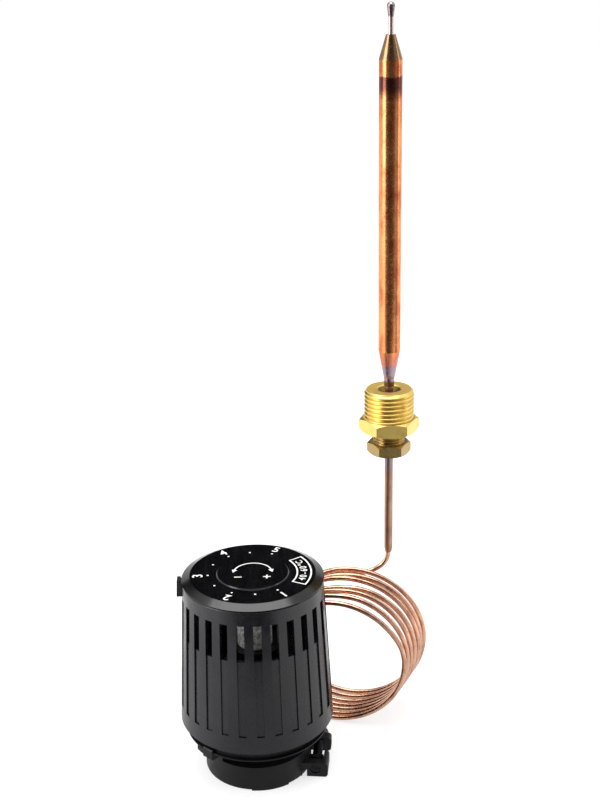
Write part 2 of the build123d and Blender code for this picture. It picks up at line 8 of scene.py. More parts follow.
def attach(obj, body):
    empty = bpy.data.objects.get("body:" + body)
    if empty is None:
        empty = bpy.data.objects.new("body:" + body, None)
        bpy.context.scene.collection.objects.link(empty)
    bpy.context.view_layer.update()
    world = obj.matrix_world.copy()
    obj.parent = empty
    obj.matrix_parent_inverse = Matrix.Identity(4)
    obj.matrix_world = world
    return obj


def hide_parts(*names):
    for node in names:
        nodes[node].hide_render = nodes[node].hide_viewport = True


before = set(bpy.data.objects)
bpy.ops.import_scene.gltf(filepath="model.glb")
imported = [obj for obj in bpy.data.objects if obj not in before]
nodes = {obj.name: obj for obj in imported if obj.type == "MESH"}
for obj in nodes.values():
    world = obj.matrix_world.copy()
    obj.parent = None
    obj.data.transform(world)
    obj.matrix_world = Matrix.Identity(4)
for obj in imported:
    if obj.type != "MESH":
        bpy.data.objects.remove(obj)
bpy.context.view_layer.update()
scene = bpy.context.scene
scene.view_settings.view_transform = "Standard"

MM = 0.001

# Camera, solved from the photograph
camera_place = (0.0201, -0.4597, 0.3272)
camera_pitch_deg = 20.08
camera_roll_deg = -1.15
camera_lens = 58.5

# Coil, in millimetres in its own turned frame. Its axis runs through coil_near and coil_far, each given
# as (across, depth). The turns are set one by one from where they cross in the photograph: (depth,
# radius) at the top, the right and the bottom, and the radius at the shoulder between top and right.
# The left halves are hidden behind the head, so their depths only carry each turn round to the next.
coil_yaw_deg = -12.3
coil_height = 32.3
coil_near = (25.4, 33.0)
coil_far = (30.85, 55.65)
coil_start_deg = 208
coil_end_deg = 80
coil_first_point_deg = 20
coil_step_deg = 30
coil_start = (32.4, 25.9)
coil_tops = [
    (33.0, 25.3), (34.6, 27.5), (38.0, 28.1), (42.2, 27.4),
    (46.9, 30.2), (50.2, 29.9), (53.2, 31.5), (55.9, 28.3),
]
coil_shoulder_deg = 30
coil_shoulders = [26.0, 29.3, 30.2, 29.8, 30.1, 30.5, 31.1]
coil_rights = [
    (33.0, 31.3), (36.0, 31.3), (40.1, 31.3), (44.5, 31.3), (48.6, 31.3), (52.0, 31.0), (55.5, 31.2),
]
coil_bottoms = [
    (33.2, 31.1), (36.6, 31.1), (40.2, 31.1), (43.0, 31.1), (46.3, 31.1), (50.5, 31.1), (54.4, 31.0),
]
coil_lefts = [34.5, 37.3, 41.2, 44.9, 48.2, 51.8, 55.1]
coil_left_radius = 31.0

# The capillary's two ends, in millimetres: the outlet and the bend after it in the coil's frame, and
# the stretch up into the sleeve in the row frame
capillary_radius = 1.1
outlet = (-1.78, 25.0, 17.4)
outlet_bend = (-1.9, 32.4, 17.2)
lead_in = [
    (43.6, 47.3, 60.6), (47.6, 47.9, 61.0), (51.6, 48.4, 62.2),
    (55.2, 48.8, 64.6), (57.2, 48.8, 68.3), (57.2, 48.8, 72.5),
]

# Sensor axis and threads, in millimetres. A thread runs from its low to its high along its own axis.
sensor_axis = (57.2, 48.8)
pipe_thread = {
    "major": 10.4775, "minor": 9.45, "pitch": 1.814, "low": 133.2, "high": 145.7, "chamfer": 1.2,
    "segments": 96, "rows_per_pitch": 12,
}
packing_thread = {
    "major": 6.58, "minor": 5.9, "pitch": 1.337, "low": 122.3, "high": 131.5, "chamfer": 0.8,
    "segments": 72, "rows_per_pitch": 10,
}
screw_thread = {
    "major": 2.0, "minor": 1.65, "pitch": 0.7, "low": -11.0, "high": 10.6, "chamfer": 0.3,
    "segments": 32, "rows_per_pitch": 10,
}
crest_power = 0.8
clamp_azimuth_deg = -6.0
clamp_screw_reach = 24.6
clamp_screw_height = 3.7

# How far the faces of a plain cylinder may lie from a thread's limits when it takes their place
low_slack = 0.06
high_slack = 0.01
radius_slack = 0.02

# Dial print, in millimetres about the head's axis
face_height = 86.8
disc_height = 87.2
print_lift = 0.02
print_thickness = 0.02
letter_weight = 0.012
arc_step_deg = 2.0
dot_circle = 17.75
dot_radius = 0.42
dot_corners = 16
mark_count = 9
first_mark_deg = -55.5
mark_step_deg = -29.9
digit_circle = 21.6
digit_size = 5.7
label_inner = 17.4
label_outer = 23.5
label_start_deg = -27.5
label_end_deg = 35.0
label_margin_deg = 7
label_line = 0.62
label_text = "40-60°C"
label_size = 3.9

# Turning arrows, minus and plus on the centre disc, in millimetres
arrow_inner = 7.2
arrow_outer = 7.75
arrow_start_deg = 15
arrow_end_deg = 165
arrow_length = 2.4
arrow_half_width = 1.1
sign_level = -4.2
minus_middle = -5.7
plus_middle = 5.7
sign_reach = 1.5
sign_line = 0.6

# Heat marks, tinning and, on the upper cone, a painted dark reflection on the sensor, by height in metres:
# where each begins and is full, how much of the copper it covers, and its colour
oxide_foot = (0.2615, 0.2685)
oxide_top = (0.273, 0.2718)
oxide_share = 0.9
oxide_colour = (0.06, 0.018, 0.022)
# The upper cone is painted darker: a painted dark reflection, not a mark on the copper.
painted_dark_cone = {"begins": 0.2775, "full": 0.279, "share": 0.85, "other": (0.2, 0.145, 0.08)}
reddened_cone = {"begins": 0.163, "full": 0.1585, "share": 0.75, "other": (0.6, 0.19, 0.14)}
tinned_cone = {"begins": 0.1578, "full": 0.1545, "share": 0.9, "other": (0.3, 0.25, 0.31)}
dark_neck = {"begins": 0.1505, "full": 0.148, "share": 0.85, "other": (0.12, 0.055, 0.06)}
tinned_sleeve = {"begins": 0.1075, "full": 0.1095, "share": 0.85, "other": (0.26, 0.2, 0.22)}
mark_wobble = 0.003

# Brass: clean and stained, the end faces with painted shade where they look up, and painted shade in the
# gland's mouth by distance from the sensor axis and height in metres
brass_clean = (0.8, 0.58, 0.17)
brass_stained = (0.56, 0.37, 0.09)
# Faces that look up take a share of a darker colour, which is painted shade, and extra roughness.
end_face_shade_share = 0.55
end_face_shade_colour = (0.4, 0.27, 0.08)
end_face_roughness = 0.3
# The gland's mouth round the sensor's neck is painted dark: painted shade in the recess.
mouth_edge = (0.0050, 0.0046)
mouth_height = (0.13, 0.14)
mouth_shade_share = 0.85
mouth_shade_colour = (0.1, 0.05, 0.012)

# Floor and backdrop: grey and glow as the camera sees the floor, grey as the object sees it, and the
# backdrop's strength as a fill light and as it is seen
floor_size = 6
seen_grey = 0.42
bounce_grey = 0.8
glow_distances = (0.12, 0.5)
glow_strengths = (0.66, 1.0)
fill_strength = 0.55
backdrop_strength = 1.0


def coil_frame_point(x, y, z):
    """A point of the coil's turned frame, in millimetres, as a point of the row frame in metres."""
    return Matrix.Rotation(math.radians(coil_yaw_deg), 3, "Z") @ Vector((x, y, z)) * MM


def add_camera():
    """The photograph's camera."""
    data = bpy.data.cameras.new("camera")
    data.lens = camera_lens
    data.clip_end = 20
    camera = bpy.data.objects.new("camera", data)
    scene.collection.objects.link(camera)
    pitch = Matrix.Rotation(math.radians(90 - camera_pitch_deg), 4, "X")
    roll = Matrix.Rotation(math.radians(camera_roll_deg), 4, "Z")
    camera.matrix_world = Matrix.Translation(camera_place) @ pitch @ roll
    scene.camera = camera


class Shader:
    """A node material with the few helpers that the surfaces below need."""

    # How far a noise's offset moves it along each axis, and the colour sockets of a Mix node
    shift = (1, 1.7, 0.6)
    mix_inputs = (6, 7)
    mix_output = 2

    def __init__(self, name):
        self.material = bpy.data.materials.new(name)
        self.material.use_nodes = True
        self.nodes = self.material.node_tree.nodes
        self.links = self.material.node_tree.links
        self.bsdf = self.nodes["Principled BSDF"]
        self.coords = self.nodes.new("ShaderNodeTexCoord").outputs["Object"]
        self.normal = None

    def link(self, source, target):
        self.links.new(source, target)

    def noise(self, size_mm, detail=3.0, roughness=0.55, stretch=(1, 1, 1), offset=0.0):
        """Noise with marks of about size_mm, longer along an axis whose stretch is below 1."""
        mapping = self.nodes.new("ShaderNodeMapping")
        mapping.inputs["Scale"].default_value = [1 / MM / size_mm * factor for factor in stretch]
        mapping.inputs["Location"].default_value = [offset * factor for factor in self.shift]
        self.link(self.coords, mapping.inputs["Vector"])
        texture = self.nodes.new("ShaderNodeTexNoise")
        texture.inputs["Scale"].default_value = 1.0
        texture.inputs["Detail"].default_value = detail
        texture.inputs["Roughness"].default_value = roughness
        self.link(mapping.outputs["Vector"], texture.inputs["Vector"])
        return texture.outputs["Fac"]

    def axis(self, letter):
        """Place along an axis of the object, in metres."""
        split = self.nodes.new("ShaderNodeSeparateXYZ")
        self.link(self.coords, split.inputs["Vector"])
        return split.outputs[letter]

    def upward(self):
        """1 where a face looks straight up."""
        normal = self.nodes.new("ShaderNodeTexCoord").outputs["Normal"]
        split = self.nodes.new("ShaderNodeSeparateXYZ")
        self.link(normal, split.inputs["Vector"])
        return split.outputs["Z"]

    def sensor_distance(self):
        """Distance from the sensor's axis, in metres."""
        node = self.nodes.new("ShaderNodeVectorMath")
        node.operation = "DISTANCE"
        flat = self.nodes.new("ShaderNodeCombineXYZ")
        self.link(self.axis("X"), flat.inputs["X"])
        self.link(self.axis("Y"), flat.inputs["Y"])
        self.link(flat.outputs["Vector"], node.inputs[0])
        node.inputs[1].default_value = (sensor_axis[0] * MM, sensor_axis[1] * MM, 0)
        return node.outputs["Value"]

    def math(self, operation, first, second=None):
        """A Math node on outputs or numbers."""
        node = self.nodes.new("ShaderNodeMath")
        node.operation = operation
        for socket, value in zip(node.inputs, (first, second)):
            if value is None:
                continue
            if isinstance(value, (int, float)):
                socket.default_value = value
            else:
                self.link(value, socket)
        return node.outputs[0]

    def step(self, value, low, high, start=0.0, end=1.0):
        """Maps low..high smoothly to start..end."""
        node = self.nodes.new("ShaderNodeMapRange")
        node.interpolation_type = "SMOOTHSTEP"
        node.inputs["From Min"].default_value = low
        node.inputs["From Max"].default_value = high
        node.inputs["To Min"].default_value = start
        node.inputs["To Max"].default_value = end
        self.link(value, node.inputs["Value"])
        return node.outputs["Result"]

    def mix(self, factor, first, second):
        """The first colour where factor is 0, the second where it is 1."""
        node = self.nodes.new("ShaderNodeMix")
        node.data_type = "RGBA"
        self.link(factor, node.inputs["Factor"])
        for number, value in zip(self.mix_inputs, (first, second)):
            if isinstance(value, tuple):
                node.inputs[number].default_value = (*value, 1)
            else:
                self.link(value, node.inputs[number])
        return node.outputs[self.mix_output]

    def cover(self, colour, amount, share, other):
        """Mixes a share of another colour in where amount is 1."""
        return self.mix(self.math("MULTIPLY", amount, share), colour, other)

    def mark(self, colour, height, begins, full, share, other):
        """Covers a colour from one height on, with its full share from another."""
        return self.cover(colour, self.step(height, begins, full), share, other)

    def colour(self, value):
        self.link(value, self.bsdf.inputs["Base Color"])

    def roughness(self, value):
        self.link(value, self.bsdf.inputs["Roughness"])

    def bump(self, height, distance_mm):
        """Adds a bump on top of those that are there."""
        node = self.nodes.new("ShaderNodeBump")
        node.inputs["Strength"].default_value = 1.0
        node.inputs["Distance"].default_value = distance_mm * MM
        self.link(height, node.inputs["Height"])
        if self.normal is not None:
            self.link(self.normal, node.inputs["Normal"])
        self.normal = node.outputs["Normal"]
        self.link(self.normal, self.bsdf.inputs["Normal"])

    def set(self, **values):
        for name, value in values.items():
            self.bsdf.inputs[name.replace("_", " ")].default_value = value


def moulded_plastic(name, dark, light, low_rough, high_rough, grain_mm, grain_depth, gloss=0.5):
    """Moulded plastic: faint flow marks in the colour, uneven sheen and a fine eroded grain."""
    s = Shader(name)
    flow = s.noise(size_mm=14, detail=4)
    s.colour(s.mix(s.step(flow, 0.35, 0.68), dark, light))
    sheen = s.noise(size_mm=3.0, detail=5, roughness=0.6, offset=3)
    s.roughness(s.step(sheen, 0.3, 0.7, low_rough, high_rough))
    s.bump(s.noise(size_mm=grain_mm, detail=2, roughness=0.6), grain_depth)
    s.set(Specular_IOR_Level=gloss)
    return s.material


def handle_charcoal():
    """The handle's satin charcoal."""
    return moulded_plastic(
        "handle_charcoal", dark=(0.005, 0.0048, 0.007), light=(0.0078, 0.0076, 0.0102),
        low_rough=0.2, high_rough=0.29, grain_mm=0.3, grain_depth=0.0022,
    )


def base_black():
    """The matt black of the base and its clamp collar."""
    return moulded_plastic(
        "base_black", dark=(0.0035, 0.0035, 0.0046), light=(0.006, 0.006, 0.0074),
        low_rough=0.34, high_rough=0.48, grain_mm=0.3, grain_depth=0.004, gloss=0.25,
    )


def tab_black():
    """The index tab's matt black."""
    return moulded_plastic(
        "tab_black", dark=(0.0045, 0.0045, 0.005), light=(0.007, 0.007, 0.008),
        low_rough=0.4, high_rough=0.5, grain_mm=0.3, grain_depth=0.006,
    )


def cap_black():
    """Polished black plastic with fine handling marks."""
    s = Shader("cap_black")
    cloud = s.step(s.noise(size_mm=9, detail=4), 0.4, 0.7)
    s.colour(s.mix(cloud, (0.0012, 0.0012, 0.0018), (0.0022, 0.0022, 0.003)))
    marks = s.noise(size_mm=2.2, detail=6, roughness=0.7, stretch=(1, 0.12, 1))
    s.roughness(s.step(marks, 0.35, 0.75, 0.15, 0.24))
    s.bump(s.noise(size_mm=0.5, detail=3), 0.001)
    return s.material


def print_white():
    """White pad-printed ink, slightly uneven."""
    s = Shader("print_white")
    cover = s.step(s.noise(size_mm=0.5, detail=4), 0.35, 0.6)
    s.colour(s.mix(cover, (0.72, 0.72, 0.70), (0.86, 0.86, 0.84)))
    s.set(Roughness=0.45)
    s.bump(s.noise(size_mm=0.25, detail=2), 0.004)
    return s.material


def turned_brass(name, light, dark, low_rough, high_rough, mouth=False):
    """Turned brass: tool lines, a few stains, rougher end faces painted darker where they look up (painted
    shade) and, on the gland, painted shade in its mouth.
    """
    s = Shader(name)
    stain = s.noise(size_mm=5.5, detail=6, roughness=0.62)
    colour = s.mix(s.step(stain, 0.5, 0.8), light, dark)
    # Faces that look up are painted darker: painted shade.
    end_face = s.step(s.upward(), 0.9, 0.98)
    colour = s.cover(colour, end_face, end_face_shade_share, end_face_shade_colour)
    if mouth:
        # Painted shade in the gland's mouth: near the sensor axis and high on the gland.
        near_axis = s.step(s.sensor_distance(), *mouth_edge)
        mouth_shade_mask = s.math("MULTIPLY", near_axis, s.step(s.axis("Z"), *mouth_height))
        colour = s.cover(colour, mouth_shade_mask, mouth_shade_share, mouth_shade_colour)
    s.colour(colour)
    sheen = s.noise(size_mm=1.6, detail=5, roughness=0.6, offset=5)
    rough = s.step(sheen, 0.3, 0.75, low_rough, high_rough)
    s.roughness(s.math("ADD", rough, s.math("MULTIPLY", end_face, end_face_roughness)))
    s.set(Metallic=1.0)
    s.bump(s.noise(size_mm=0.16, detail=2, roughness=0.5, stretch=(0.02, 0.02, 1)), 0.004)
    s.bump(s.noise(size_mm=0.9, detail=4), 0.003)
    return s.material


def bright_brass():
    """The inner brass pieces."""
    return turned_brass("brass_turned", brass_clean, brass_stained, low_rough=0.2, high_rough=0.32)


def dull_brass():
    """The gland's packing screw."""
    return turned_brass(
        "brass_dull", light=(0.38, 0.265, 0.1), dark=(0.3, 0.2, 0.07), low_rough=0.22, high_rough=0.34,
    )


def gland_brass():
    """The gland's body."""
    return turned_brass(
        "brass_gland", brass_clean, brass_stained, low_rough=0.28, high_rough=0.4, mouth=True,
    )


def drawn_copper(name, light, dark, low_rough=0.15, high_rough=0.3, marks=None):
    """Drawn copper: lines along the tube and brown stains; marks adds heat marks, tinning and, on the bulb,
    a painted dark reflection by height.
    """
    s = Shader(name)
    stain = s.noise(size_mm=4.5, detail=6, roughness=0.65, stretch=(1, 1, 0.45))
    colour = s.mix(s.step(stain, 0.4, 0.72), light, dark)
    if marks:
        uneven = s.math("SUBTRACT", s.noise(size_mm=2.5, detail=4), 0.5)
        wobble = s.math("MULTIPLY", uneven, mark_wobble)
        colour = marks(s, colour, s.math("ADD", s.axis("Z"), wobble))
    s.colour(colour)
    sheen = s.noise(size_mm=1.2, detail=5, roughness=0.6, offset=4)
    s.roughness(s.step(sheen, 0.3, 0.75, low_rough, high_rough))
    s.set(Metallic=1.0)
    s.bump(s.noise(size_mm=0.5, detail=3, roughness=0.5, stretch=(1, 1, 0.04)), 0.004)
    s.bump(s.noise(size_mm=1.4, detail=4, offset=8), 0.004)
    return s.material


def bulb_marks(s, colour, height):
    """Dark oxide band and the upper cone painted darker (a painted dark reflection) at the top, reddened
    and tinned cone and dark neck at the bottom.
    """
    band = s.math("MULTIPLY", s.step(height, *oxide_foot), s.step(height, *oxide_top))
    colour = s.cover(colour, band, oxide_share, oxide_colour)
    for mark in (painted_dark_cone, reddened_cone, tinned_cone, dark_neck):
        colour = s.mark(colour, height, **mark)
    return colour


def sleeve_marks(s, colour, height):
    """Tinned stretch just under the gland."""
    return s.mark(colour, height, **tinned_sleeve)


def tube_copper():
    """The capillary."""
    return drawn_copper("copper_tube", light=(0.75, 0.44, 0.3), dark=(0.48, 0.23, 0.15))


def bulb_copper():
    """The sensor bulb."""
    return drawn_copper("copper_bulb", light=(0.76, 0.29, 0.11), dark=(0.45, 0.1, 0.04), marks=bulb_marks)


def sleeve_copper():
    """The stiff sleeve under and through the gland."""
    return drawn_copper(
        "copper_sleeve", light=(0.42, 0.26, 0.18), dark=(0.26, 0.13, 0.09),
        low_rough=0.28, high_rough=0.42, marks=sleeve_marks,
    )


def tinned_copper():
    """The filling tube on the bulb's top."""
    return drawn_copper("copper_tinned", light=(0.72, 0.55, 0.52), dark=(0.42, 0.28, 0.26))


def speckled_aluminium():
    """Grey aluminium can with a coarse speckle."""
    s = Shader("can_aluminium")
    speckle = s.step(s.noise(size_mm=1.3, detail=5, roughness=0.75), 0.38, 0.64)
    s.colour(s.mix(speckle, (0.3, 0.31, 0.29), (0.95, 0.96, 0.92)))
    s.roughness(s.step(speckle, 0, 1, 0.55, 0.38))
    s.set(Metallic=0.15)
    s.bump(speckle, 0.02)
    return s.material


def plated_steel(name, light, dark):
    """Plated steel, slightly clouded."""
    s = Shader(name)
    s.colour(s.mix(s.step(s.noise(size_mm=1.5, detail=5), 0.35, 0.7), light, dark))
    s.roughness(s.step(s.noise(size_mm=0.8, detail=4), 0.3, 0.7, 0.22, 0.38))
    s.set(Metallic=1.0)
    s.bump(s.noise(size_mm=0.3, detail=3), 0.006)
    return s.material


def zinc_steel():
    """The inner steel pieces."""
    return plated_steel("zinc_steel", light=(0.62, 0.63, 0.65), dark=(0.42, 0.42, 0.43))


def black_steel():
    """The clamp's screw and nut."""
    return plated_steel("black_steel", light=(0.03, 0.03, 0.033), dark=(0.015, 0.015, 0.018))


def solder():
    """Bright solder, a little dimpled."""
    s = Shader("solder")
    cloud = s.step(s.noise(size_mm=0.9, detail=4), 0.4, 0.7)
    s.colour(s.mix(cloud, (0.3, 0.24, 0.25), (0.16, 0.11, 0.12)))
    s.set(Metallic=1.0, Roughness=0.2)
    s.bump(s.noise(size_mm=0.8, detail=3), 0.03)
    return s.material


def soft_packing():
    """Black packing material."""
    s = Shader("packing_black")
    s.colour(s.mix(s.noise(size_mm=1.0, detail=4), (0.02, 0.02, 0.02), (0.05, 0.05, 0.05)))
    s.set(Roughness=0.8)
    s.bump(s.noise(size_mm=0.4, detail=3), 0.03)
    return s.material


def dress(material, *names):
    """Gives CAD nodes a material."""
    for name in names:
        mesh = nodes[name].data
        if not mesh.materials:
            mesh.materials.append(material)
        for index in range(len(mesh.materials)):
            mesh.materials[index] = material


def dress_head():
    """The pieces of the head, but for the clamp's screw and nut."""
    dress(handle_charcoal(), "handle")
    dress(base_black(), "base_frame", "range_limiter", "can_lock_ring")
    dress(tab_black(), "index_tab")
    dress(cap_black(), "dial_cap", "centre_disc")
    dress(speckled_aluminium(), "bellows_can")
    dress(bright_brass(), "can_base", "bellows", "setting_nut", "capillary_bush", "packing_washer")
    dress(zinc_steel(), "retaining_ring", "pressure_pin", "seat_clip", "spring_seat", "setting_spring")


def dress_sensor():
    """The sensor, from its sleeve to the solder bead, and the gland's packing."""
    dress(bulb_copper(), "sensor_bulb")
    dress(tinned_copper(), "filling_tube")
    dress(sleeve_copper(), "sleeve_tube")
    dress(solder(), "seal_bead")
    dress(soft_packing(), "packing_ring")


def mesh_piece(name, mesh, material, body):
    """Adds a mesh as a piece that rides on a CAD body."""
    piece = bpy.data.objects.new(name, mesh)
    scene.collection.objects.link(piece)
    mesh.materials.clear()
    mesh.materials.append(material)
    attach(piece, body)
    return piece


def evaluated_mesh(curve_object):
    """The mesh that a linked curve or text makes."""
    bpy.context.view_layer.update()
    made = curve_object.evaluated_get(bpy.context.evaluated_depsgraph_get())
    return bpy.data.meshes.new_from_object(made)


def between(knots, angle):
    """Depth in a straight line and radius smoothly between (angle, depth, radius) knots."""
    for (a0, d0, r0), (a1, d1, r1) in zip(knots, knots[1:]):
        if a0 <= angle <= a1:
            share = (angle - a0) / (a1 - a0)
            return d0 + (d1 - d0) * share, r0 + (r1 - r0) * (share * share * (3 - 2 * share))
    return knots[-1][1:]


def coil_knots():
    """(angle, depth, radius) at each crossing, by the angle wound since the coil's start."""
    knots = [(0, *coil_start)]
    for turn, (depth, radius) in enumerate(coil_tops):
        top = coil_start_deg - 90 + 360 * turn
        knots.append((top, depth, radius))
        if turn < len(coil_rights):
            right_depth, right_radius = coil_rights[turn]
            shoulder_depth = depth + (right_depth - depth) / (90 / coil_shoulder_deg)
            knots.append((top + coil_shoulder_deg, shoulder_depth, coil_shoulders[turn]))
            knots.append((top + 90, right_depth, right_radius))
            knots.append((top + 180, *coil_bottoms[turn]))
            knots.append((top + 270, coil_lefts[turn], coil_left_radius))
    return knots


def capillary_points():
    """Control points from the outlet round the turns and up into the sleeve, in metres."""
    points = [coil_frame_point(*outlet), coil_frame_point(*outlet_bend)]
    knots = coil_knots()
    last = coil_start_deg - coil_end_deg + 360 * len(coil_rights)
    slant = (coil_far[0] - coil_near[0]) / (coil_far[1] - coil_near[1])
    outside = 1 / math.cos(math.radians(coil_step_deg) / 2)
    for wound in range(coil_first_point_deg, last, coil_step_deg):
        depth, radius = between(knots, wound)
        angle = math.radians(coil_start_deg - wound)
        middle = coil_near[0] + slant * (depth - coil_near[1])
        across = middle + radius * outside * math.cos(angle)
        height = coil_height + radius * outside * math.sin(angle)
        points.append(coil_frame_point(across, depth, height))
    return points + [Vector(point) * MM for point in lead_in]


def spline_length(curve_object):
    """Length of a curve's own line."""
    bare = curve_object.copy()
    bare.data = curve_object.data.copy()
    bare.data.bevel_depth = 0
    scene.collection.objects.link(bare)
    mesh = evaluated_mesh(bare)
    total = 0
    for edge in mesh.edges:
        first, second = edge.vertices
        total += (mesh.vertices[first].co - mesh.vertices[second].co).length
    bpy.data.objects.remove(bare)
    return total


def add_capillary(material):
    """The copper capillary: one spline from the head, round the coil and up into the sleeve."""
    data = bpy.data.curves.new("capillary", "CURVE")
    data.dimensions = "3D"
    spline = data.splines.new("NURBS")
    points = capillary_points()
    spline.points.add(len(points) - 1)
    for point, place in zip(spline.points, points):
        point.co = (*place, 1)
    spline.order_u = 3
    spline.use_endpoint_u = True
    spline.resolution_u = 8
    data.bevel_depth = capillary_radius * MM
    data.bevel_resolution = 4
    data.use_fill_caps = True
    data.materials.append(material)
    capillary = bpy.data.objects.new("capillary", data)
    scene.collection.objects.link(capillary)
    length = spline_length(capillary)
    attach(capillary, "frame")
    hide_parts("capillary_lead_out", "capillary_coil", "capillary_lead_in")


def thread_radius(thread, turn, height):
    """Radius of a rounded screw thread at an angle, given in turns, and a height."""
    phase = (height - thread["low"]) / thread["pitch"] - turn
    crest = 0.5 - 0.5 * math.cos(2 * math.pi * phase)
    radius = thread["minor"] + (thread["major"] - thread["minor"]) * crest ** crest_power
    chamfered = thread["major"] - thread["chamfer"] + (thread["high"] - height)
    return min(radius, chamfered)


def thread_rows(thread):
    """Rings of (radius, height) from the thread's foot to its end."""
    segments = thread["segments"]
    length = thread["high"] - thread["low"]
    count = round(length / thread["pitch"] * thread["rows_per_pitch"])
    rows = [[(thread["major"], thread["low"])] * segments]
    for row in range(count + 1):
        height = thread["low"] + length * row / count
        rows.append([(thread_radius(thread, s / segments, height), height) for s in range(segments)])
    rows.append([(thread["major"] - thread["chamfer"], thread["high"])] * segments)
    return rows


def remove_plain_cylinder(work, thread, place):
    """Takes away the plain faces that the thread replaces, and leaves its flat end."""
    into = place.inverted()
    plain = []
    for face in work.faces:
        local = [into @ vertex.co / MM for vertex in face.verts]
        radii = [math.hypot(p.x, p.y) for p in local]
        within = all(thread["low"] - low_slack <= p.z <= thread["high"] + high_slack for p in local)
        outer = min(radii) > thread["major"] - thread["chamfer"] - radius_slack
        flat_end = all(abs(p.z - thread["high"]) < high_slack for p in local)
        if within and outer and not flat_end and max(radii) < thread["major"] + radius_slack:
            plain.append(face)
    bmesh.ops.delete(work, geom=plain, context="FACES")


def build_thread(work, thread, place):
    """Adds the thread's rings and the faces between them."""
    segments = thread["segments"]
    rings = []
    for row in thread_rows(thread):
        ring = []
        for number, (radius, height) in enumerate(row):
            angle = 2 * math.pi * number / segments
            local = Vector((radius * math.cos(angle), radius * math.sin(angle), height)) * MM
            ring.append(work.verts.new(place @ local))
        rings.append(ring)
    for lower, upper in zip(rings, rings[1:]):
        for number in range(segments):
            following = (number + 1) % segments
            face = work.faces.new((lower[number], lower[following], upper[following], upper[number]))
            face.smooth = True


def threaded_piece(node, name, thread, place, material, body):
    """A copy of a CAD node with a thread for its plain cylinder. place moves the Z axis to the thread's."""
    mesh = nodes[node].data.copy()
    work = bmesh.new()
    work.from_mesh(mesh)
    remove_plain_cylinder(work, thread, place)
    build_thread(work, thread, place)
    work.to_mesh(mesh)
    work.free()
    piece = mesh_piece(name, mesh, material, body)
    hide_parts(node)


def add_gland_threads():
    """The gland's pipe thread and its packing screw's thread."""
    place = Matrix.Translation((sensor_axis[0] * MM, sensor_axis[1] * MM, 0))
    threaded_piece("gland_body", "gland_body_threaded", pipe_thread, place, gland_brass(), "gland")
    threaded_piece("gland_nut", "gland_nut_threaded", packing_thread, place, dull_brass(), "gland")


def add_clamp_thread(material):
    """The clamp screw's thread, between the lugs and in the nut."""
    place = (
        Matrix.Rotation(math.radians(clamp_azimuth_deg), 4, "Z")
        @ Matrix.Translation((clamp_screw_reach * MM, 0, clamp_screw_height * MM))
        @ Matrix.Rotation(math.radians(90), 4, "X")
    )
    threaded_piece("clamp_screw", "clamp_screw_threaded", screw_thread, place, material, "frame")


def flat_face(work, corners, height):
    """A flat face at a height, from corners in millimetres."""
    work.faces.new([work.verts.new((c.x * MM, c.y * MM, height * MM)) for c in corners])


def strip(work, inner, outer, start_deg, end_deg, height):
    """A flat arc between two radii."""
    steps = max(1, math.ceil(abs(end_deg - start_deg) / arc_step_deg))
    last = None
    for number in range(steps + 1):
        angle = math.radians(start_deg + (end_deg - start_deg) * number / steps)
        pair = [work.verts.new((r * math.cos(angle) * MM, r * math.sin(angle) * MM, height * MM))
                for r in (inner, outer)]
        if last:
            work.faces.new((last[0], last[1], pair[1], pair[0]))
        last = pair


def bar(work, start, end, width, height):
    """A flat straight bar."""
    along = (Vector(end) - Vector(start)).normalized()
    side = Vector((-along.y, along.x)) * width / 2
    flat_face(work, [Vector(start) - side, Vector(end) - side, Vector(end) + side, Vector(start) + side],
              height)


def print_piece(name, work, material):
    """Turns flat faces into a thin printed piece on the dial."""
    bmesh.ops.recalc_face_normals(work, faces=work.faces[:])
    made = bmesh.ops.extrude_face_region(work, geom=work.faces[:])
    lifted = [item for item in made["geom"] if isinstance(item, bmesh.types.BMVert)]
    bmesh.ops.translate(work, verts=lifted, vec=(0, 0, print_thickness * MM))
    mesh = bpy.data.meshes.new(name)
    work.to_mesh(mesh)
    work.free()
    mesh_piece(name, mesh, material, "frame")


def printed_text(name, text, radius, angle_deg, turn_deg, size, height, material):
    """A number or letter lying flat, centred on a point of the dial."""
    data = bpy.data.curves.new(name, "FONT")
    data.body = text
    data.size = size * MM
    data.align_x = "CENTER"
    data.align_y = "CENTER"
    data.offset = letter_weight * size * MM
    data.extrude = print_thickness * MM / 2
    holder = bpy.data.objects.new(name + "_curve", data)
    angle = math.radians(angle_deg)
    place = Vector((radius * math.cos(angle), radius * math.sin(angle), height)) * MM
    holder.matrix_world = Matrix.Translation(place) @ Matrix.Rotation(math.radians(turn_deg), 4, "Z")
    scene.collection.objects.link(holder)
    mesh = evaluated_mesh(holder)
    mesh.transform(holder.matrix_world)
    bpy.data.objects.remove(holder)
    mesh_piece(name, mesh, material, "frame")


def add_dial_dots(material):
    """Nine dots round the dial."""
    work = bmesh.new()
    for mark in range(mark_count):
        angle = math.radians(first_mark_deg + mark * mark_step_deg)
        centre = Vector((dot_circle * math.cos(angle), dot_circle * math.sin(angle)))
        spots = []
        for corner in range(dot_corners):
            around = 2 * math.pi * corner / dot_corners
            spots.append(work.verts.new((
                (centre.x + dot_radius * math.cos(around)) * MM,
                (centre.y + dot_radius * math.sin(around)) * MM,
                (face_height + print_lift) * MM,
            )))
        work.faces.new(spots)
    print_piece("dial_dots", work, material)


def add_dial_numbers(material):
    """The numbers 1 to 5, one at every second dot."""
    for mark in range(0, mark_count, 2):
        angle = first_mark_deg + mark * mark_step_deg
        digit = str(1 + mark // 2)
        printed_text(f"dial_number_{digit}", digit, digit_circle, angle, angle - 90, digit_size,
                     face_height + print_lift, material)


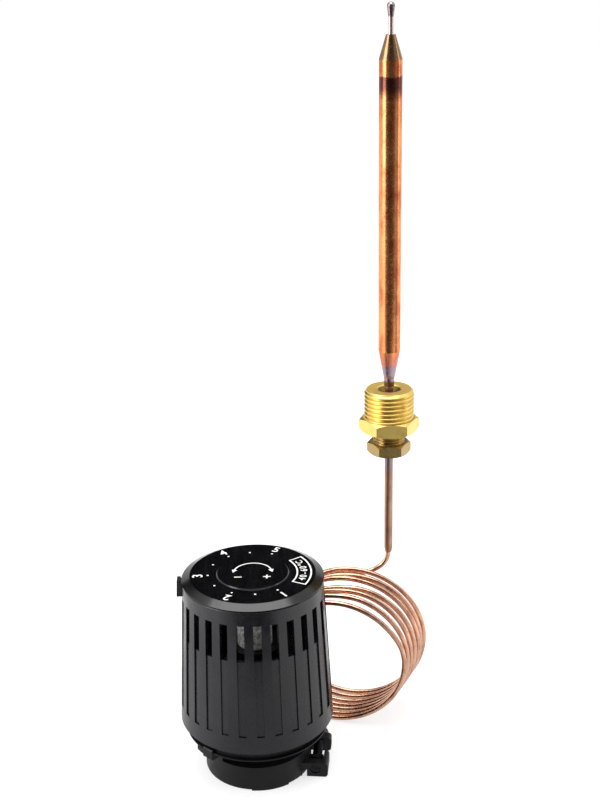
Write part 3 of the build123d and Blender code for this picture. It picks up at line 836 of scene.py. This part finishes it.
def add_range_label(material):
    """Outlined arc with a plain temperature range."""
    height = face_height + print_lift
    work = bmesh.new()
    strip(work, label_inner, label_inner + label_line, label_start_deg, label_end_deg, height)
    strip(work, label_outer - label_line, label_outer, label_start_deg, label_end_deg, height)
    for edge, side in ((label_start_deg, 1), (label_end_deg, -1)):
        width = math.degrees(label_line / label_outer)
        strip(work, label_inner + label_line, label_outer - label_line, edge, edge + side * width, height)
    print_piece("dial_label_frame", work, material)
    middle = (label_inner + label_outer) / 2
    span = label_end_deg - label_start_deg - 2 * label_margin_deg
    for number, letter in enumerate(label_text):
        angle = label_start_deg + label_margin_deg + span * (number + 0.5) / len(label_text)
        printed_text(f"dial_label_{number}", letter, middle, angle, angle + 90, label_size,
                     height, material)


def add_turn_symbol(material):
    """Plain turning arrows with a minus and a plus on the centre disc."""
    height = disc_height + print_lift
    work = bmesh.new()
    strip(work, arrow_inner, arrow_outer, arrow_start_deg, arrow_end_deg, height)
    for angle_deg, way in ((arrow_start_deg, -1), (arrow_end_deg, 1)):
        angle = math.radians(angle_deg)
        along = Vector((-math.sin(angle), math.cos(angle))) * way
        out = Vector((math.cos(angle), math.sin(angle)))
        foot = out * ((arrow_inner + arrow_outer) / 2)
        barb = out * arrow_half_width
        flat_face(work, [foot + along * arrow_length, foot + barb, foot - barb], height)
    for middle in (minus_middle, plus_middle):
        bar(work, (middle - sign_reach, sign_level), (middle + sign_reach, sign_level), sign_line, height)
    for low, high in ((-sign_reach, -sign_line / 2), (sign_line / 2, sign_reach)):
        bar(work, (plus_middle, sign_level + low), (plus_middle, sign_level + high), sign_line, height)
    print_piece("disc_symbol", work, material)


def far_from_object(tree):
    """The floor's own glow: lower round the object, where its shadow falls, and full white further out."""
    coords = tree.nodes.new("ShaderNodeTexCoord")
    distance = tree.nodes.new("ShaderNodeVectorMath")
    distance.operation = "LENGTH"
    tree.links.new(coords.outputs["Object"], distance.inputs[0])
    spread = tree.nodes.new("ShaderNodeMapRange")
    spread.interpolation_type = "SMOOTHSTEP"
    for end, place, strength in zip(("Min", "Max"), glow_distances, glow_strengths):
        spread.inputs[f"From {end}"].default_value = place
        spread.inputs[f"To {end}"].default_value = strength
    tree.links.new(distance.outputs["Value"], spread.inputs["Value"])
    return spread.outputs["Result"]


def background_rays(tree):
    """1 for camera, glossy and transmission rays."""
    path = tree.nodes.new("ShaderNodeLightPath")
    total = path.outputs["Is Camera Ray"]
    for name in ("Is Glossy Ray", "Is Transmission Ray"):
        node = tree.nodes.new("ShaderNodeMath")
        node.operation = "MAXIMUM"
        tree.links.new(total, node.inputs[0])
        tree.links.new(path.outputs[name], node.inputs[1])
        total = node.outputs[0]
    return total


def by_ray(tree, others, background):
    """One shader for the background's rays and one for all others."""
    mix = tree.nodes.new("ShaderNodeMixShader")
    for socket, source in zip(mix.inputs, (background_rays(tree), others, background)):
        tree.links.new(source, socket)
    return mix.outputs[0]


def matt_grey(tree, grey):
    """A matt grey surface."""
    diffuse = tree.nodes.new("ShaderNodeBsdfDiffuse")
    diffuse.inputs["Color"].default_value = (grey, grey, grey, 1)
    return diffuse.outputs[0]


def add_floor():
    """A pale floor that reads as white and keeps a soft shadow."""
    bpy.ops.mesh.primitive_plane_add(size=floor_size)
    floor = bpy.context.object
    floor.name = "floor"
    material = bpy.data.materials.new("floor_white")
    material.use_nodes = True
    tree = material.node_tree
    tree.nodes.remove(tree.nodes["Principled BSDF"])
    glow = tree.nodes.new("ShaderNodeEmission")
    tree.links.new(far_from_object(tree), glow.inputs["Strength"])
    added = tree.nodes.new("ShaderNodeAddShader")
    tree.links.new(matt_grey(tree, seen_grey), added.inputs[0])
    tree.links.new(glow.outputs[0], added.inputs[1])
    surface = by_ray(tree, matt_grey(tree, bounce_grey), added.outputs[0])
    tree.links.new(surface, tree.nodes["Material Output"].inputs["Surface"])
    floor.data.materials.append(material)


def plain_white(tree, strength):
    """A white background of a strength."""
    background = tree.nodes.new("ShaderNodeBackground")
    background.inputs["Color"].default_value = (1, 1, 1, 1)
    background.inputs["Strength"].default_value = strength
    return background.outputs[0]


def add_world():
    """A white backdrop that lights less than it shows."""
    world = bpy.data.worlds.new("studio")
    scene.world = world
    world.use_nodes = True
    tree = world.node_tree
    tree.nodes.clear()
    surface = by_ray(tree, plain_white(tree, fill_strength), plain_white(tree, backdrop_strength))
    output = tree.nodes.new("ShaderNodeOutputWorld")
    tree.links.new(surface, output.inputs["Surface"])


def add_light(name, place, target, width, height, power):
    """A rectangular light aimed at a point."""
    data = bpy.data.lights.new(name, "AREA")
    data.shape = "RECTANGLE"
    data.size = width
    data.size_y = height
    data.energy = power
    light = bpy.data.objects.new(name, data)
    light.location = place
    aim = Vector(target) - Vector(place)
    light.rotation_euler = aim.to_track_quat("-Z", "Y").to_euler()
    scene.collection.objects.link(light)


def add_card(name, corners, middle, clear, full, dark):
    """A studio card seen only in reflections. Its glow, by distance along X from its middle, is dark as
    far as clear and white from full on."""
    mesh = bpy.data.meshes.new(name)
    mesh.from_pydata(corners, [], [(0, 1, 2, 3)])
    card = bpy.data.objects.new(name, mesh)
    scene.collection.objects.link(card)
    s = Shader(name)
    offset = s.math("ABSOLUTE", s.math("SUBTRACT", s.axis("X"), middle))
    s.link(s.step(offset, clear, full, dark, 1.0), s.bsdf.inputs["Emission Strength"])
    s.set(Base_Color=(0, 0, 0, 1), Emission_Color=(1, 1, 1, 1), Specular_IOR_Level=0.0)
    mesh.materials.append(s.material)
    card.visible_camera = False
    card.visible_diffuse = False
    card.visible_shadow = False
    card.visible_transmission = False


def upright(left, right, low, high, place):
    """Corners of an upright card that faces along Y."""
    return [(left, place, low), (right, place, low), (right, place, high), (left, place, high)]


def sideways(front, back, low, high, place):
    """Corners of an upright card that faces along X."""
    return [(place, front, low), (place, back, low), (place, back, high), (place, front, high)]


def level(left, right, front, back, height):
    """Corners of a level card."""
    return [(left, front, height), (right, front, height), (right, back, height), (left, back, height)]


def add_lights():
    """Soft boxes at the left, the right and the top."""
    middle = (0.02, 0.02, 0.12)
    lower = (0.02, 0.02, 0.1)
    add_light("left_box", place=(-0.75, -0.30, 0.45), target=middle, width=0.5, height=0.9, power=7)
    add_light("right_box", place=(0.85, -0.15, 0.45), target=middle, width=0.5, height=0.9, power=3)
    add_light("top_box", place=(0.0, 0.1, 1.1), target=lower, width=0.9, height=0.9, power=10)


def add_cards():
    """Cards that give the black and metal pieces something dark to mirror."""
    # A dark sheet just above the floor round the object, seen only in reflections: painted shade for the
    # floor's shade there.
    corners = level(left=-0.16, right=0.16, front=-0.16, back=0.07, height=0.0006)
    add_card("floor_shade_card", corners, middle=0.005, clear=0.02, full=0.1, dark=0.64)
    corners = upright(left=-0.22, right=0.22, low=0.0, high=0.085, place=-0.16)
    add_card("front_card", corners, middle=0.0, clear=0.04, full=0.17, dark=0.01)
    corners = upright(left=0.05, right=0.1, low=0.04, high=0.09, place=-0.155)
    add_card("gland_card", corners, middle=0.075, clear=0.5, full=1.0, dark=0.45)
    corners = upright(left=-0.45, right=0.8, low=0.0, high=0.7, place=-0.36)
    add_card("far_card", corners, middle=0.06, clear=0.0, full=1.3, dark=0.09)
    corners = sideways(front=-0.36, back=0.0, low=0.0, high=0.6, place=0.45)
    add_card("side_card", corners, middle=0.45, clear=0.5, full=1.0, dark=0.5)
    corners = upright(left=-0.9, right=0.6, low=0.45, high=1.6, place=0.9)
    add_card("back_card", corners, middle=0.0, clear=0.6, full=1.2, dark=0.01)
    corners = upright(left=-0.4, right=0.07, low=0.3, high=0.45, place=0.9)
    add_card("low_card", corners, middle=0.0, clear=0.6, full=1.2, dark=0.01)


add_camera()

copper = tube_copper()
add_capillary(copper)
dress(copper, "inner_capillary")
dress_sensor()
dress_head()

clamp_steel = black_steel()
dress(clamp_steel, "clamp_nut")
add_gland_threads()
add_clamp_thread(clamp_steel)

ink = print_white()
add_dial_dots(ink)
add_dial_numbers(ink)
add_range_label(ink)
add_turn_symbol(ink)

add_floor()
add_world()
add_lights()
add_cards()
